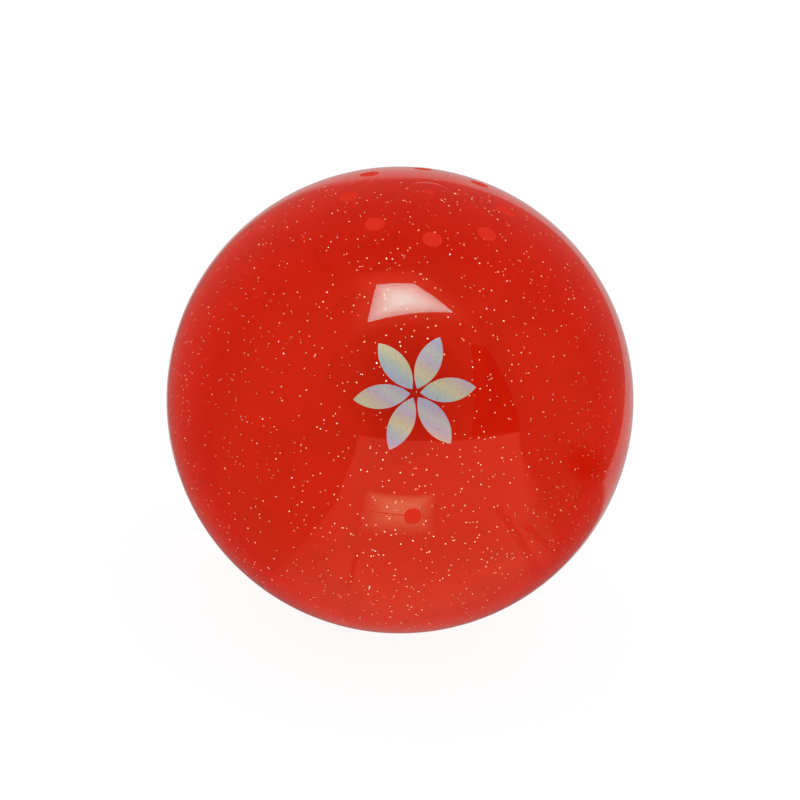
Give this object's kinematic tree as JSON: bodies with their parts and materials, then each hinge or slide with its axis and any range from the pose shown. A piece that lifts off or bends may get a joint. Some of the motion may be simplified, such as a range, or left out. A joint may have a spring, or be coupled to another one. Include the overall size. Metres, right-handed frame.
{
  "type": "park golf ball",
  "caption": "Round ball of clear red resin with silver glitter over a hollow welded core, for rolling or driving along turf with a club.",
  "frame": {"origin": "centre of the ball", "axes": "+Z along the axis of the cover's mould, through the middle of the ring of hold pin marks; -Y towards the gate mark on the parting line"},
  "size_m": [0.06, 0.06, 0.06],
  "materials": {
    "clear_red_resin": "polished clear ionomer resin, tinted red, with silver glitter through it",
    "core_resin": "opaque orange-red moulded resin",
    "holographic_foil": "hot-stamped silver foil with a fine rainbow grating"
  },
  "bodies": {
    "root": {"cover": "clear_red_resin", "core_upper_half": "core_resin", "core_lower_half": "core_resin", "foil_mark": "holographic_foil"}
  },
  "joints": []
}
